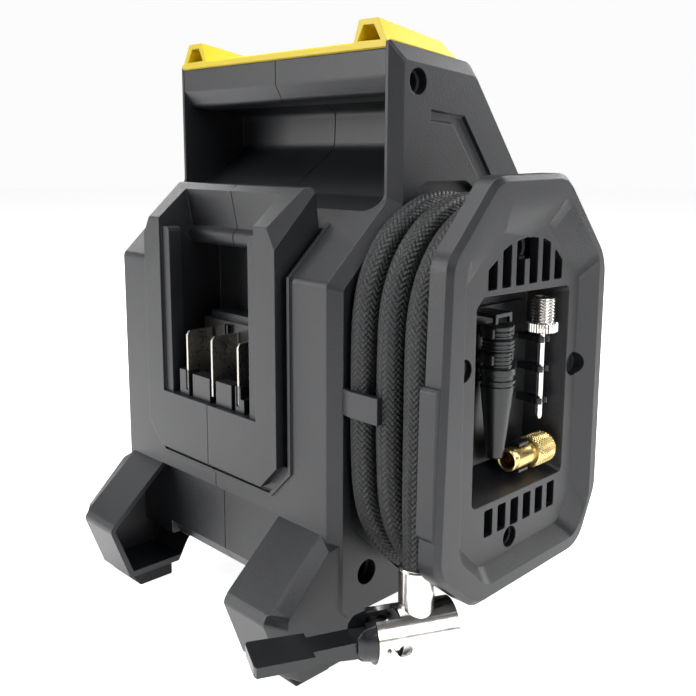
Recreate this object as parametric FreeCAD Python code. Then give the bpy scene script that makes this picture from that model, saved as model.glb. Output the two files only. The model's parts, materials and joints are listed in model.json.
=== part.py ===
import FreeCAD, Part
import math
import os

# Cordless tyre inflator with a clip-on battery dock at the back, a hose reel on its right side,
# a carrying handle scooped into its back and a sloped control panel at the front.
# Millimetres. +X is the reel side, -Y the battery side, +Z up; the feet stand on z = 0.

V = FreeCAD.Vector

# ---- driving dimensions ----
side_x = 57.7            # side planes of the housing
bevel = 3.4              # bevel between a side plane and the faces that run round it
face_x = side_x - bevel
rear_y = -36.3
front_y = 64.0
bottom_z = 16.0
shoulder_z = 119.4
shoulder_slope = 0.922   # rise per millimetre forward
rim_y = -11.9            # rear edge of the right handle wall
top_z = 187.9            # joint with the top cover at the rim
top_slope = -0.103
wall = 2.6
half_gap = 0.15          # each shell stops this far from the parting plane

dock_x = 35.3
dock_front_y = -39.3
dock_open_x = 25.6
dock_floor_z = 73.7
dock_back_y = -14.0

handle_x = 53.2
bar_y = -8.6
left_rim_y = -8.8        # rear edge of the left handle wall
bar_low_z = 178.2

leg_in_x = 32.8
leg_flat_x = 51.4
leg_out_x = 57.0
rear_reach = 22.0        # how far a leg's knee stands out from the rear face
front_reach = 12.0
pad_z = 4.5

motor_z = 38.0
motor_r = 17.0
motor_y = (-14.0, 28.0)
gear_module = 0.8
pinion_teeth = 10
gear_teeth = 40
crank_z = motor_z + gear_module * (pinion_teeth + gear_teeth) / 2
crank_throw = 6.0
rod_y = 40.5
rod_length = 32.0
bore_r = 12.5

hose_r = 4.0
coil_r = 32.3            # centre line of the wound hose
coil_y = 4.6
coil_low_z = 62.5
coil_high_z = 108.2
strand_x = (61.8, 72.0, 82.1)
hub_r = coil_r - hose_r - 0.3
seat_x = 54.5            # floor of the shallow seat that the hose winds in

plate_in_x = 87.4
plate_out_x = 94.4
dish_x = 90.4            # floor of the reel plate's dish
pocket_x = 77.5          # floor of the accessory pocket

chuck_at = V(82.2, -28.0, 23.9)
chuck_turn = 63.5        # degrees from +X to the open end of the barrel
barrel_r = 7.6
barrel_span = (-13.5, 10.4)
barrel_bore_r = 6.3
pin_at = (-9.9, -1.8)    # lever pin along the barrel and above its axis

panel_x = 42.0
panel_mid = V(0, 44.8, 160.5)   # middle of the sloped front face
panel_tilt = -50.88      # turns +Z onto the face's outward normal

# the origin sits under the middle of the housing and reel
origin = V((plate_out_x - side_x) / 2, (rear_y - rear_reach + front_y + front_reach) / 2, 0)


# ---- shapes ----
def spot(plane, at, a, b):
    if plane == "x":
        return V(at, a, b)
    if plane == "y":
        return V(a, at, b)
    return V(a, b, at)


def outline(points, plane, at, radius=0.0):
    """Closed wire through points, with each corner rounded by its radius."""
    count = len(points)
    radii = radius if isinstance(radius, (list, tuple)) else [radius] * count
    corners = []
    for i in range(count):
        here = spot(plane, at, *points[i])
        before = spot(plane, at, *points[i - 1])
        after = spot(plane, at, *points[(i + 1) % count])
        into = (before - here).normalize()
        out = (after - here).normalize()
        turn = math.pi - into.getAngle(out)
        if radii[i] <= 0 or turn < 0.02:
            corners.append((here, None, here))
            continue
        reach = radii[i] * math.tan(turn / 2)
        middle = (into + out).normalize()
        centre = here + middle * (radii[i] / math.cos(turn / 2))
        corners.append((here + into * reach, centre - middle * radii[i], here + out * reach))
    edges = []
    for i in range(count):
        start, mid, end = corners[i]
        if mid is not None:
            edges.append(Part.Arc(start, mid, end).toShape())
        following = corners[(i + 1) % count][0]
        if (following - end).Length > 1e-6:
            edges.append(Part.LineSegment(end, following).toShape())
    return Part.Wire(edges)


def prism(points, plane, low, high, radius=0.0):
    face = Part.Face(outline(points, plane, low, radius))
    return face.extrude(spot(plane, high - low, 0, 0))


def loft(points_a, at_a, points_b, at_b, plane, radius_a=0.0, radius_b=0.0):
    wires = [outline(points_a, plane, at_a, radius_a), outline(points_b, plane, at_b, radius_b)]
    return Part.makeLoft(wires, True, True)


def box(x, y, z):
    corner = V(min(x), min(y), min(z))
    return Part.makeBox(max(x) - min(x), max(y) - min(y), max(z) - min(z), corner)


def rod(start, end, r):
    start, end = V(*start), V(*end)
    return Part.makeCylinder(r, (end - start).Length, start, end - start)


def cone(start, end, r_start, r_end):
    start, end = V(*start), V(*end)
    return Part.makeCone(r_start, r_end, (end - start).Length, start, end - start)


def ring(start, end, r_out, r_in):
    return rod(start, end, r_out).cut(rod(start, end, r_in))


def join(shapes):
    base = shapes[0]
    return base.fuse(shapes[1:]).removeSplitter() if len(shapes) > 1 else base


def mirror(shape):
    return shape.mirror(V(0, 0, 0), V(1, 0, 0))


def both(shape):
    return [shape, mirror(shape)]


def racetrack(r, low, high, plane_low=coil_low_z, plane_high=coil_high_z):
    """Solid of the reel's oval: two half circles joined by straight sides."""
    corners = [(coil_y - r, plane_low - r), (coil_y + r, plane_low - r),
               (coil_y + r, plane_high + r), (coil_y - r, plane_high + r)]
    return prism(corners, "x", low, high, r - 0.001)


def on_panel(shape):
    """Stands a shape made flat (x across, y down the slope, z outward) on the sloped front face."""
    moved = shape.copy()
    moved.Placement = FreeCAD.Placement(panel_mid, FreeCAD.Rotation(V(1, 0, 0), panel_tilt))
    return moved


def on_chuck(shape):
    """Turns a shape made along +X at the origin onto the hose chuck's axis."""
    moved = shape.copy()
    moved.Placement = FreeCAD.Placement(chuck_at, FreeCAD.Rotation(V(0, 0, 1), chuck_turn))
    return moved


# ---- housing ----
screw_points = [(-2.6, 176.5), (-22.7, 30.1), (50.0, 32.0), (56.2, 129.2)]
reel_screw_points = [(8.0, 129.3), (4.2, 43.8), (-19.6, 98.2)]
blind_hole = (35.2, 91.2)


def body_half(rim):
    """Right half of the body whose handle wall has its rear edge at rim."""
    rise = shoulder_slope * (rim - rear_y)
    rim_top = top_z + (184.0 - top_z) * (rim - rim_y) / (25.6 - rim_y)
    round_face = [(rear_y, 20), (rear_y, shoulder_z), (rim, shoulder_z + rise), (rim, rim_top),
                  (25.6, 184.0), (front_y, 136.9), (front_y, 20), (60, bottom_z), (-32.3, bottom_z)]
    round_side = [(rear_y + bevel, 20.6), (rear_y + bevel, 117.9), (rim + bevel, shoulder_z + rise - 1.5),
                  (rim + bevel, rim_top - 5.5), (25.05, 179.5), (front_y - bevel, 135.7),
                  (front_y - bevel, 21.4), (57.5, 18.2), (-30.5, 18.2)]
    radii_face = [0, 3.0, 4.0, 0.8, 5.0, 6.0, 2.0, 2.0, 0]
    radii_side = [0, 2.0, 3.0, 1.0, 4.0, 5.0, 2.0, 2.0, 0]
    middle = prism(round_face, "x", 0, face_x, radii_face)
    return middle.fuse(loft(round_face, face_x, round_side, side_x, "x", radii_face, radii_side))


def body_block():
    """The left handle wall ends level with the bar, the right one stands out past it."""
    return join([body_half(rim_y), mirror(body_half(left_rim_y))])


def leg(side, face, reach):
    """Hollow leg, open towards the middle; face is the housing face that it stands out from."""
    out = -1 if face < 0 else 1

    def at(depth, z):
        return (face + out * depth, z)
    flat = [at(-8, 46), at(0, 44.4), at(reach - 1.7, 26.4), at(reach, 24.0), at(reach - 7.3, pad_z),
            at(-5.8, pad_z), at(-9.8, 11.4), at(-14.3, 16.4), at(-14.3, 30)]
    slant = [at(-8, 42.4), at(1.6, 40.9), at(reach - 4.9, 25.8), at(reach - 4.6, 22.6),
             at(reach - 9.6, pad_z), at(-5.8, pad_z), at(-9.8, 11.4), at(-14.3, 16.4), at(-14.3, 30)]
    hollow = [at(-5, 43.2), at(-1.2, 43.2), at(reach - 3.0, 25.3), at(reach - 1.9, 23.8),
              at(reach - 8.6, pad_z + 2.2), at(-6.9, pad_z + 2.2), at(-10.4, 12.6), at(-5, 18.0)]
    knee = [0, 0, 2.5, 2.5, 1.0, 0, 0, 0, 0]
    solid = join([prism(flat, "x", leg_in_x, leg_flat_x, knee),
                  loft(flat, leg_flat_x, slant, leg_out_x, "x", knee, knee)])
    solid = solid.cut(prism(hollow, "x", leg_in_x - 1, leg_flat_x - 0.2))
    return solid if side > 0 else mirror(solid)


def dock_frame():
    profile = [(-30, 53), (dock_front_y, 53), (dock_front_y, 134), (-25.6, 145.4),
               (-23.2, 145.6), (-21.2, 131), (-21.2, 122), (-30, 112)]
    frame = prism(profile, "x", -dock_x, dock_x, [0, 0.4, 1.0, 0.8, 0.8, 1.0, 0, 0])
    lower = [(25.9, 40), (25.9, 51.6), (dock_x, 61), (40, 61), (40, 40)]
    low_cut = prism(lower, "y", -45, -20)
    a, b, c = V(dock_x, -39.6, 129), V(dock_x, -25.4, 143.2), V(32.8, -39.6, 133.4)
    normal = (b - a).cross(c - a).normalize()
    facet = Part.makeBox(30, 30, 12, V(-15, -15, 0))
    facet.Placement = FreeCAD.Placement(V(34, -32, 137.3), FreeCAD.Rotation(V(0, 0, 1), normal))
    return frame.cut(both(low_cut) + both(facet))


def moat_and_lip():
    """Groove round the dock frame, and the thin raised lip outside it."""
    groove = [(-39, 60.9), (-34.4, 60.9), (-34.4, 118.6), (-20.9, 131.0), (-22.0, 136.5), (-39, 121)]
    low = [(-1, 53), (27.3, 53), (dock_x, 61), (37.9, 61), (37.9, 59.9), (28.9, 50.9), (-1, 50.9)]
    lip = [(-37.0, 59.9), (-35.0, 59.9), (-35.0, 118.5), (-20.0, 132.3), (-20.5, 134.9), (-37.0, 119.7)]
    lip_low = [(-1, 50.9), (28.9, 50.9), (37.9, 59.9), (39.1, 59.9), (39.1, 59.4), (29.7, 50.0), (-1, 50.0)]
    grooves = prism(groove, "x", dock_x, 37.9).fuse(prism(low, "y", -39.5, -35.9))
    lips = prism(lip, "x", 37.9, 39.1).fuse(prism(lip_low, "y", -37.0, -35.0))
    return grooves, lips


def handle_scoop():
    profile = [(-24, 138.7), (-15, 138.7), (-3, 142.2), (18.8, 157.5), (19.3, 170), (13, 174.2),
               (4, 171.8), (-5.4, 172.6), (bar_y, bar_low_z), (bar_y, 196), (-24, 196)]
    radii = [0, 0, 6, 5, 3, 4, 5, 3, 2, 0, 0]
    scoop = prism(profile, "x", -handle_x, handle_x, radii)
    mouth = [(-handle_x, 138.7), (handle_x, 138.7), (handle_x, 200), (-handle_x, 200)]
    return scoop.common(prism(mouth, "y", -26, 24, [6, 6, 0, 0]))


def cover_seat():
    drop = 1.6
    z0 = top_z + top_slope * (-9.0 - rim_y) - drop
    z1 = top_z + top_slope * (23.5 - rim_y) - drop
    return prism([(-9.0, z0), (23.5, z1), (23.5, z1 + 8), (-9.0, z0 + 8)], "x", -53.5, 52.4)


def inner_space():
    profile = [(-30.2, 18.8), (-30.2, 119.3), (-15.5, 132.9), (-3.6, 138.9), (21.8, 155.4),
               (22.2, 180.6), (24.8, 180.0), (front_y - 2.8, 135.6), (front_y - 2.8, 18.8)]
    return prism(profile, "x", -side_x + wall, seat_x - wall)


def bar_space():
    profile = [(-5.6, 180.0), (-3.0, 176.6), (4, 174.6), (13, 177.0), (21.8, 172.0), (22.2, 180.0), (-5.6, 183.6)]
    return prism(profile, "x", -41, 41)


def side_groove(depth):
    shape = [(3.4, 168.8), (19.6, 167.4), (46.5, 134.0), (42.0, 130.6), (13.9, 164.4), (3.4, 165.2)]
    sloped = [(a + 0.6 * s, b + 0.6 * t) for (a, b), s, t in
              zip(shape, (1, 0, -1, 1, 0, 1), (-1, -1.4, 0, 1, 1.4, 1))]
    return loft(shape, side_x + 0.01, sloped, side_x - depth, "x")


def hose_seat():
    corners = [(-29.8, 46.5), (-29.8, 115.5), (-6.5, 136.8), (0, 147.2), (22, 147.4), (41, 131),
               (45, 116), (45, 52), (30, 26), (-7.5, 25.4)]
    return prism(corners, "x", seat_x, side_x + 1, [4, 3, 3, 5, 8, 5, 5, 8, 8, 3])


def dock_hollow():
    profile = [(-50, dock_floor_z), (dock_back_y, dock_floor_z), (dock_back_y, 125.5),
               (-25.0, 128.6), (-26.8, 137.8), (-28.0, 143.4), (-28.6, 160), (-50, 160)]
    return prism(profile, "x", -dock_open_x, dock_open_x, [0, 0, 3, 0, 0, 0, 0, 0])


def dock_rails():
    rail = prism([(21.3, dock_floor_z - 0.2), (dock_open_x + 0.2, dock_floor_z - 0.2),
                  (dock_open_x + 0.2, 131.2), (21.3, 131.2)], "y", -38.2, -33.2, [0, 0, 1, 2])
    catch = rod((-dock_open_x - 0.2, -24.2, 128.0), (dock_open_x + 0.2, -24.2, 128.0), 3.3)
    return both(rail) + [catch]


def shell():
    """The whole housing before it is split into its two halves."""
    solid = body_block()
    skirt = join([box((-leg_in_x, leg_in_x), (-45, -33), (0, 44.5)),
                  box((-leg_flat_x + 0.2, leg_flat_x - 0.2), (-45, -33), (0, 43.2))])
    tuck = prism([(-35, 21.5), (-33, 21.3), (-29, 15.5), (-29, 5), (-35, 5)], "x", -leg_in_x, leg_in_x)
    solid = solid.cut([skirt, tuck])
    grooves, lips = moat_and_lip()
    solid = solid.cut([handle_scoop(), cover_seat(), inner_space(), bar_space()])
    dock_shell = box((-28.3, 28.3), (-33, -11.4), (70.9, 130.5))
    keep = box((-60, 60), (-60, 60), (0, 128.4))
    solid = join([solid, dock_frame(), dock_shell.common(keep)] + both(lips))
    solid = solid.cut(both(grooves) + [dock_hollow()])
    legs = [leg(side, face, reach) for side in (-1, 1) for face, reach in ((rear_y, rear_reach), (front_y, front_reach))]
    solid = join([solid] + dock_rails() + legs)
    solid = solid.cut([hose_seat(), side_groove(1.2), mirror(side_groove(1.2))])
    tab = prism([(55.5, -32.6), (57.6, -33.2), (61.8, -34.2), (72.3, -34.2), (72.3, -32.4), (61.8, -32.4),
                 (57.6, -32.0), (55.5, -31.6)], "z", 82.0, 89.6)
    return solid.fuse(tab)


def screw_bosses():
    low = [rod((-side_x + 2, y, z), (seat_x - 1, y, z), 4.6) for y, z in screw_points[1:]]
    hub = [rod((seat_x - wall - 9, y, z), (seat_x - 0.5, y, z), 4.2) for y, z in reel_screw_points]
    return low + hub


def front_openings():
    """Recess for the control panel with the space behind it, the work light and the vents."""
    lens = rod((0, front_y - 8, 92), (0, front_y + 1, 92), 10.2)
    vents = [box((-side_x - 1, -side_x + wall + 1), (y - 1.6, y + 1.6), (62, 98)) for y in range(-18, 40, 8)]
    panel_seat = Part.makeBox(2 * panel_x + 0.6, 50.6, 10, V(-panel_x - 0.3, -25.3, -2.2))
    behind = Part.makeBox(2 * panel_x - 6, 43, 8, V(-panel_x + 3, -21.5, -8))
    return [lens, on_panel(panel_seat), on_panel(behind)] + vents


def screw_holes():
    holes = []
    for y, z in screw_points:
        holes.append(rod((side_x - 3.3, y, z), (side_x + 1, y, z), 3.9))
        holes.append(rod((side_x - 11, y, z), (side_x, y, z), 3.05))
        holes.append(rod((-14, y, z), (side_x, y, z), 1.65))
    for y, z in reel_screw_points:
        holes.append(rod((seat_x - wall - 9.5, y, z), (seat_x + 1, y, z), 1.5))
    return holes


def housing():
    solid = shell()
    solid = join([solid] + screw_bosses())
    outlet = rod((40, 36.9, 74), (60, 36.9, 74), 3.15)
    solid = solid.cut(front_openings() + screw_holes() + [outlet])
    right = solid.common(box((half_gap, 80), (-80, 120), (-5, 220)))
    left = solid.common(box((-80, -half_gap), (-80, 120), (-5, 220)))
    return left, right


# ---- top cover ----
def top_cover():
    def joint(y):
        return top_z + top_slope * (y - rim_y)
    half = 52.1
    plate = prism([(-9.2, 186.4), (-9.2, joint(-9) + 1.1), (21.5, joint(21.5) + 0.9), (23.3, joint(23.3) - 0.6),
                   (23.3, joint(23.3) - 1.5), (-8.8, joint(-8.8) - 1.5), (-8.9, 186.4)],
                  "x", -half - 1.1, half, [0, 0.6, 1.5, 0, 0, 0, 0])
    base = [(37.0, 187.2), (52.1, 186.6), (47.5, 194.9), (39.8, 195.0)]
    far = [(38.0, joint(23) - 0.4), (52.0, joint(23) - 1.0), (47.6, joint(23) + 5.6), (40.4, joint(23) + 5.8)]
    ridge = loft(base, -9.2, far, 23.3, "y")
    nose = prism([(-12, 200), (19.5, 200), (19.5, joint(19.5) + 5.9), (24.5, joint(24) + 0.5), (30, joint(24)),
                  (30, 200)], "x", 30, 56)
    nose = nose.cut(box((29, 57), (-13, 19.4), (170, 201)))
    tunnel = loft([(39.0, 188.8), (48.7, 188.6), (45.9, 193.3), (41.5, 193.5)], -10,
                  [(41.6, joint(8) + 0.9), (46.6, joint(8) + 0.9), (45.2, joint(8) + 3.4), (42.6, joint(8) + 3.5)],
                  8, "y")
    ridge = ridge.cut([nose, tunnel])
    left_ridge, left_tunnel = mirror(ridge), mirror(tunnel)
    left_ridge.translate(V(-1.0, 0, 0))
    left_tunnel.translate(V(-1.0, 0, 0))
    return join([plate, ridge, left_ridge]).cut([tunnel, left_tunnel])


# ---- battery dock ----
def terminal_block():
    back = box((-19, 19), (-26.0, dock_back_y - 0.1), (dock_floor_z + 0.1, 99.2))
    lip = box((-17.5, 17.5), (-24.0, dock_back_y - 0.1), (99.2, 101.5))
    bed = box((-20.5, 20.5), (-33.0, -26.0), (dock_floor_z + 0.1, 79.0))
    teeth = [box(x, (-37.4, -33.0), (dock_floor_z + 0.1, z)) for x, z in
             (((-18.2, -12.9), 82.6), ((-10.6, -0.9), 82.0), ((2.6, 10.9), 82.0), ((12.9, 15.6), 82.4),
              ((15.6, 17.4), 78.4))]
    prongs = [box((x, x + 0.7), (-27.6, -25.9), (90.0, 98.4)) for x in (-5.9, -4.3, 8.2, 9.8)]
    slots = [box((x - 0.6, x + 0.6), (-37.6, -26.4), (75.8, 100)) for x in (-14.0, 0.0, 14.0)]
    return join([back, lip, bed] + teeth + prongs).cut(slots)


def terminal_blades():
    blades = []
    for x in (-14.0, 0.0, 14.0):
        side = [(-37.0, 76.0), (-26.6, 76.0), (-26.6, 96.2), (-36.2, 96.2), (-37.0, 95.0)]
        blades.append(prism(side, "x", x - 0.45, x + 0.45))
    return Part.makeCompound(blades)


# ---- feet ----
def rubber_feet():
    pads = []
    for face, out, reach in ((rear_y, -1, rear_reach), (front_y, 1, front_reach)):
        back = face + out * (reach - 8.4)
        front = face - out * 3.1
        side = [(front, 0), (front, pad_z), (back, pad_z), (back - out * 3.4, 0)]
        pad = prism(side, "x", leg_in_x + 0.6, leg_flat_x + 1.0)
        pads += both(pad)
    return Part.makeCompound(pads)


# ---- hose reel ----
plate_outline = [(-11.5, 149.9), (22.5, 150.3), (46.2, 125.0), (46.5, 48.5), (37.5, 31.2), (-16.6, 30.0),
                 (-33.9, 44.0), (-31.0, 129.0)]
plate_radii = [9, 10, 14, 12, 10, 9, 9, 9]
ring_outline = [(-7.6, 142.4), (23.0, 143.2), (41.6, 124.5), (42.0, 47.0), (35.0, 36.2), (-12.5, 35.4),
                (-24.8, 47.0), (-24.9, 127.0)]
floor_outline = [(-4.5, 134.8), (19.5, 135.2), (36.6, 118.5), (36.8, 52.0), (31.0, 41.0), (-10.5, 38.6),
                 (-19.9, 48.0), (-20.2, 120.6)]


def slot_row(tops, bottom, first, pitch, width):
    slots = []
    for i, (left, right) in enumerate(tops):
        y = first + pitch * i
        shape = [(y, bottom), (y + width, bottom), (y + width, right), (y, left)]
        slots.append(prism(shape, "x", plate_in_x - 0.5, plate_out_x, 0.5))
    return slots


def pocket_solid(grow):
    """Accessory pocket, wider by grow on every side."""
    mouth = [(-14.7 - grow, 57.2 - grow), (31.2 + grow, 57.2 - grow), (31.4 + grow, 116.4 + grow),
             (-11.7 - grow, 117.4 + grow), (-14.9 - grow, 114.4 + grow)]
    floor = [(-14.2 - grow, 62.5 - grow), (27.8 + grow, 62.5 - grow), (27.9 + grow, 114.0 + grow),
             (-11.5 - grow, 115.0 + grow), (-14.2 - grow, 112.4 + grow)]
    return loft(mouth, dish_x + (0.01 if grow == 0 else 0), floor, pocket_x - grow, "x", 2.0, 2.0)


def hose_reel():
    """Oval drum and the dished plate that keeps the hose on it, in one moulding."""
    edge = 1.6
    inner = [(y * 0.965 + 0.2, 90 + (z - 90) * 0.975) for y, z in plate_outline]
    slab = join([prism(plate_outline, "x", plate_in_x, plate_out_x - edge, plate_radii),
                 loft(plate_outline, plate_out_x - edge, inner, plate_out_x, "x", plate_radii, plate_radii)])
    guard = prism([(-34.6, 54.2), (-25, 54.2), (-25, 96.0), (-34.0, 96.0)], "x", plate_in_x - 0.2,
                  plate_out_x - edge, [1.5, 0, 0, 1.5])
    dish = loft(ring_outline, plate_out_x + 0.01, floor_outline, dish_x, "x", 7.0, 6.0)
    drum = racetrack(hub_r, seat_x + 0.05, plate_in_x + 0.2).cut(racetrack(hub_r - 2.4, seat_x - 1, plate_in_x))
    bosses = [rod((seat_x + 0.05, y, z), (plate_in_x + 0.2, y, z), 4.0) for y, z in reel_screw_points]
    hose_room = racetrack(coil_r + hose_r + 0.3, seat_x, plate_in_x - 0.1).cut(racetrack(hub_r, seat_x - 1, plate_in_x))
    solid = join([slab.fuse(guard).cut(dish), drum, pocket_solid(1.8).cut(hose_room)] + bosses)
    top = slot_row([(124.6, 127.4), (129.4, 131.2), (131.6, 132.4), (132.4, 132.0), (131.8, 130.2),
                    (128.4, 124.6)], 118.9, -10.1, 6.5, 4.2)
    low = slot_row([(55.3, 55.3)] * 6, 47.2, -8.6, 6.4, 4.0)
    holes = [rod((seat_x, y, z), (dish_x, y, z), 1.6) for y, z in reel_screw_points]
    holes += [rod((72.0, y, z), (plate_out_x, y, z), 2.7) for y, z in reel_screw_points]
    holes += [rod((dish_x - 2, y, z), (plate_out_x, y, z), 3.2) for y, z in reel_screw_points]
    holes.append(rod((plate_in_x + 0.8, *blind_hole), (plate_out_x + 1, *blind_hole), 3.7))
    return solid.cut([pocket_solid(0)] + top + low + holes)


needle_at = (86.6, 23.0)
nozzle_at = (84.8, 3.4)
adapter_at = V(86.6, 6.6, 65.7)
adapter_way = V(0, 1, 0)
clip_gap = 0.08


def clip(depth, y, z, grip, half=1.0):
    """Snap clip round an upright shank: a post from the pocket floor with two jaws, open towards +X."""
    space = grip + clip_gap
    jaw = space + 1.3
    post = box((pocket_x + 0.05, depth - space - 0.3), (y - 1.6, y + 1.6), (z - half, z + half))
    cup = rod((depth, y, z - half), (depth, y, z + half), jaw)
    mouth = box((depth, depth + 20), (y - space, y + space), (z - 4, z + 4))
    front = box((depth + 1.8, depth + 20), (y - 20, y + 20), (z - 4, z + 4))
    return post.fuse(cup).cut([mouth, front, rod((depth, y, z - 4), (depth, y, z + 4), space)])


def accessory_tray():
    """Rack on the pocket floor with the clips that hold the three loose nozzles."""
    plate = prism([(-12.0, 63.4), (26.0, 63.4), (26.0, 111.6), (-12.0, 111.6)], "x", pocket_x + 0.05,
                  pocket_x + 1.4, 2.0)
    clips = [clip(*needle_at, z, 1.05) for z in (81.2, 91.2, 100.4)]
    clips += [clip(*nozzle_at, z, 4.1, 1.4) for z in (97.4, 105.0)]
    saddle = clip(adapter_at.x, 0, 0, 3.45, 2.4)
    saddle.rotate(V(adapter_at.x, 0, 0), V(1, 0, 0), -90)
    saddle.translate(V(0, 13.2, adapter_at.z))
    shelf = box((pocket_x + 0.2, 86.4), (-0.4, 7.6), (109.4, 110.6))
    hook = [box((85.2, 86.4), y, (107.6, 110.0)) for y in ((-0.4, 0.8), (6.4, 7.6))]
    return join([plate, saddle, shelf] + hook + clips)


def ball_needle():
    x, y = needle_at
    thread = [rod((x, y, 105.8), (x, y, 113.4), 3.45)]
    for i in range(8):
        z = 105.9 + 0.92 * i
        thread += [cone((x, y, z), (x, y, z + 0.45), 3.45, 3.88), cone((x, y, z + 0.45), (x, y, z + 0.9), 3.88, 3.45)]
    collar = rod((x, y, 102.6), (x, y, 105.8), 4.7)
    neck = cone((x, y, 102.0), (x, y, 102.6), 1.05, 2.0)
    stem = rod((x, y, 76.2), (x, y, 102.0), 1.05)
    tip = Part.makeSphere(1.05, V(x, y, 76.4))
    mouth = rod((x, y, 108), (x, y, 114), 2.2)
    return join(thread + [collar, neck, stem, tip]).cut(mouth)


def presta_adapter():
    def at(t):
        return tuple(adapter_at + adapter_way * t)
    body = join([cone(at(0), at(0.7), 3.1, 3.45), rod(at(0.7), at(11.4), 3.45), rod(at(10.8), at(19.6), 4.9),
                 cone(at(19.6), at(20.6), 4.9, 4.0)])
    return body.cut(rod(at(-1), at(14), 2.6))


def tapered_nozzle():
    x, y = nozzle_at
    parts = [cone((x, y, 67.2), (x, y, 89.4), 2.5, 5.0), rod((x, y, 89.4), (x, y, 92.6), 4.6),
             rod((x, y, 90.2), (x, y, 91.2), 5.3), rod((x, y, 92.6), (x, y, 94.6), 5.2),
             rod((x, y, 94.6), (x, y, 107.0), 4.1)]
    parts += [rod((x, y, 99.2 + 1.2 * i), (x, y, 99.8 + 1.2 * i), 4.7) for i in range(4)]
    return join(parts).cut(rod((x, y, 66), (x, y, 112), 1.4))


# ---- hose and chuck ----
hose_route = [(82.1, -27.7, 62.5), (82.1, -27.75, 49.0), (82.2, -28.0, 34.4)]


def arc_tube(points, r):
    """Tube along straight runs joined by tangent arcs; prints each arc's radius."""
    points = [V(*p) for p in points]
    edges = []
    start = points[0]
    for before, corner, after in zip(points, points[1:], points[2:]):
        into, out = (before - corner), (after - corner)
        short = min(into.Length, out.Length)
        into.normalize()
        out.normalize()
        turn = math.pi - into.getAngle(out)
        arc_r = 0.45 * short / math.tan(turn / 2)
        print("arc radius", round(arc_r, 1))
        reach = 0.45 * short
        middle = (into + out).normalize()
        nearest = corner + middle * (arc_r / math.cos(turn / 2) - arc_r)
        edges.append(Part.LineSegment(start, corner + into * reach).toShape())
        edges.append(Part.Arc(corner + into * reach, nearest, corner + out * reach).toShape())
        start = corner + out * reach
    edges.append(Part.LineSegment(start, points[-1]).toShape())
    spine = Part.Wire(edges)
    section = Part.Wire([Part.makeCircle(r, points[0], points[1] - points[0])])
    solid = spine.makePipeShell([section], True, False)
    length = sum(edge.Length for edge in edges)
    print("tube length", round(length, 1), "volume", round(solid.Volume, 1), "section times length",
          round(math.pi * r * r * length, 1))
    return solid


def hose_coil():
    low, high = strand_x[0] - hose_r, strand_x[2] + hose_r
    solid = racetrack(coil_r + hose_r, low, high).cut(racetrack(coil_r - hose_r, low - 1, high + 1))
    outlet_room = box((low - 1, strand_x[0] + hose_r + 0.6), (coil_y + coil_r - 8, coil_y + coil_r + 8), (62, 86))
    ferrule_room = rod((chuck_at.x, chuck_at.y, 20), (chuck_at.x, chuck_at.y, 46), 5.6)
    return solid.cut([outlet_room, ferrule_room, arc_tube(hose_route, hose_r)])


def hose_ferrule():
    x, y = chuck_at.x, chuck_at.y
    sleeve = rod((x, y, chuck_at.z), (x, y, 42.2), 5.1).fuse(cone((x, y, 42.2), (x, y, 42.8), 5.1, 4.7))
    return sleeve.cut([arc_tube(hose_route, hose_r), on_chuck(rod((-20, 0, 0), (20, 0, 0), barrel_r))])


def chuck_barrel():
    low, high = barrel_span
    solid = ring((low, 0, 0), (high, 0, 0), barrel_r, barrel_bore_r)
    notch = box((low - 1, -6.2), (-4.2, 4.2), (0.8, 12))
    port = rod((0, 0, 0), (0, 0, 12), 2.0)
    t, z = pin_at
    keyhole = [rod((t, -9, z), (t, 9, z), 1.35), rod((t + 3.9, -9, z), (t + 3.9, 9, z), 2.1),
               box((t, t + 3.9), (-9, 9), (z - 0.9, z + 0.9))]
    return on_chuck(solid.cut([notch, port] + keyhole))


def chuck_cap():
    low = barrel_span[0]
    dome = cone((low, 0, 0), (low - 3.4, 0, 0), 6.9, 6.2).fuse(cone((low - 3.4, 0, 0), (low - 5.2, 0, 0), 6.2, 4.8))
    lining = ring((low, 0, 0), (low + 6.6, 0, 0), barrel_bore_r, 5.3)
    slots = [box((low - 9, low + 8), (-4.2, 4.2), (-4.4, 9)), box((low, low + 8), (-4.2, 4.2), (-7, 9))]
    t, z = pin_at
    slots.append(box((t - 1.6, t + 1.6), (-9, 9), (z - 1.6, z + 1.6)))
    return on_chuck(dome.fuse(lining).cut(slots))


def chuck_pin():
    t, z = pin_at
    shaft = rod((t, -8.4, z), (t, 8.4, z), 1.3)
    heads = [rod((t, y, z), (t, y + 1.0, z), 1.3) for y in (-8.6, 7.6)]
    return on_chuck(join([shaft] + heads))


def chuck_lever():
    t, z = pin_at
    eye = rod((t, -3.8, z), (t, 3.8, z), 3.0)
    cam = prism([(t, z), (t + 1.6, z + 4.2), (t - 1.0, z + 4.6), (t - 4.2, z + 3.4)], "y", -3.8, 3.8)
    arm = prism([(t, z - 2.2), (t, z + 2.6), (-19.5, 0.9), (-31.8, 0.4), (-31.8, -3.2), (-19.5, -3.9)],
                "y", -3.8, 3.8)
    paddle = prism([(-31.0, -6.2), (-47.0, -6.6), (-47.6, -5.4), (-47.6, 5.4), (-47.0, 6.6), (-31.0, 6.2)],
                   "z", -2.6, 0.4)
    solid = join([eye, cam, arm, paddle])
    return on_chuck(solid.cut(rod((t, -6, z), (t, 6, z), 1.36)))


def chuck_plunger():
    body = ring((-6.0, 0, 0), (2.8, 0, 0), barrel_bore_r - 0.08, 1.6)
    return on_chuck(body.cut(rod((0, 0, 0), (0, 0, 9), 2.0)))


def chuck_seal():
    return on_chuck(ring((4.2, 0, 0), (10.2, 0, 0), barrel_bore_r, 3.95))


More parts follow.
